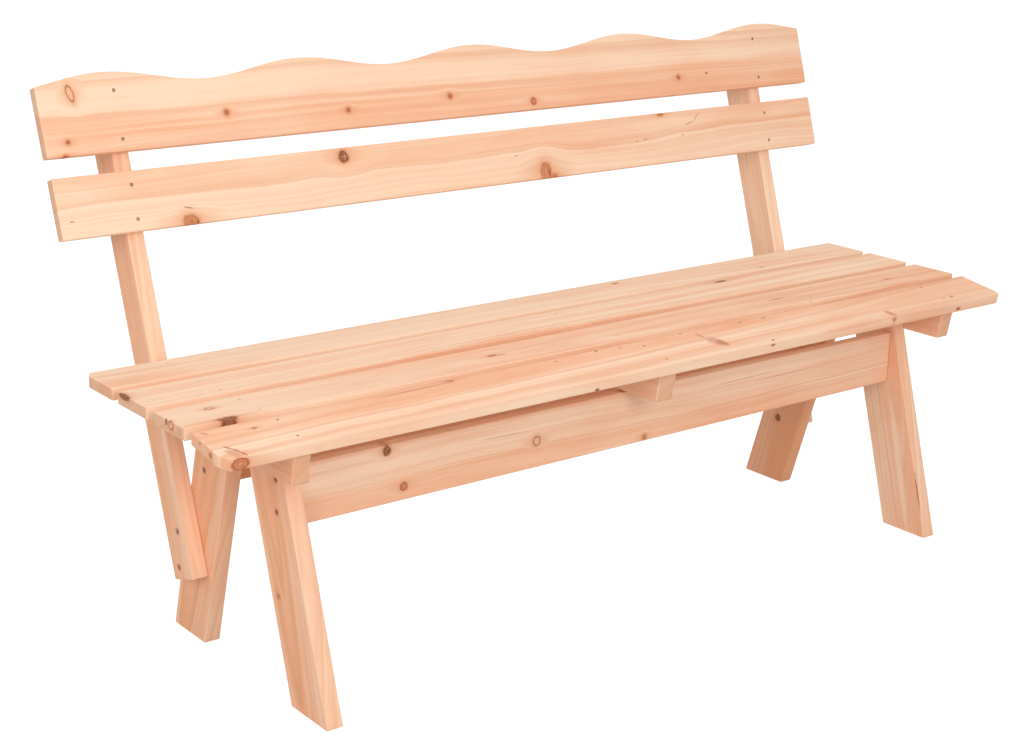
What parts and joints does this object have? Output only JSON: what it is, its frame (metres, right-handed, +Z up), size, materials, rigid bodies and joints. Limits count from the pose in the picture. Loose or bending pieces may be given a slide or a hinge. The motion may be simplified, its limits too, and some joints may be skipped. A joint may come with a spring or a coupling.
{
  "type": "wooden bench",
  "caption": "Garden bench of raw softwood boards on splayed plank legs, with a leaning back of boards whose top edge is wavy.",
  "frame": {"origin": "on the floor under the middle of the bench's bounding box", "axes": "+X along the bench from its left end to its right end as seen from the front, +Y from the front of the seat to the back, +Z up from the floor"},
  "size_m": [1.5, 0.6, 0.8239],
  "materials": {
    "softwood": "raw planed softwood, unvarnished",
    "screw_steel": "zinc-plated countersunk wood screws"
  },
  "bodies": {
    "root": {"apron_front": "softwood", "back_board_lower": "softwood", "back_board_top": "softwood", "batten_centre": "softwood", "cleat_left": "softwood", "cleat_right": "softwood", "leg_front_left": "softwood", "leg_front_right": "softwood", "leg_rear_left": "softwood", "leg_rear_right": "softwood", "post_left": "softwood", "post_right": "softwood", "screw_apron_left_lower": "screw_steel", "screw_apron_left_upper": "screw_steel", "screw_apron_right_lower": "screw_steel", "screw_apron_right_upper": "screw_steel", "screw_back_left_1": "screw_steel", "screw_back_left_2": "screw_steel", "screw_back_left_3": "screw_steel", "screw_back_left_4": "screw_steel", "screw_back_right_1": "screw_steel", "screw_back_right_2": "screw_steel", "screw_back_right_3": "screw_steel", "screw_back_right_4": "screw_steel", "screw_batten_1": "screw_steel", "screw_batten_2": "screw_steel", "screw_batten_3": "screw_steel", "screw_batten_4": "screw_steel", "screw_batten_5": "screw_steel", "screw_cleat_left_front": "screw_steel", "screw_cleat_left_rear": "screw_steel", "screw_cleat_right_front": "screw_steel", "screw_cleat_right_rear": "screw_steel", "screw_post_left_lower": "screw_steel", "screw_post_left_upper": "screw_steel", "screw_post_right_lower": "screw_steel", "screw_post_right_upper": "screw_steel", "screw_seat_left_1": "screw_steel", "screw_seat_left_2": "screw_steel", "screw_seat_left_3": "screw_steel", "screw_seat_left_4": "screw_steel", "screw_seat_left_5": "screw_steel", "screw_seat_left_6": "screw_steel", "screw_seat_right_1": "screw_steel", "screw_seat_right_2": "screw_steel", "screw_seat_right_3": "screw_steel", "screw_seat_right_4": "screw_steel", "screw_seat_right_5": "screw_steel", "screw_seat_right_6": "screw_steel", "screw_stretcher_left_lower": "screw_steel", "screw_stretcher_left_upper": "screw_steel", "screw_stretcher_right_lower": "screw_steel", "screw_stretcher_right_upper": "screw_steel", "seat_plank_front": "softwood", "seat_plank_rear": "softwood", "seat_plank_second": "softwood", "seat_plank_third": "softwood", "stretcher_rear": "softwood"}
  },
  "joints": []
}
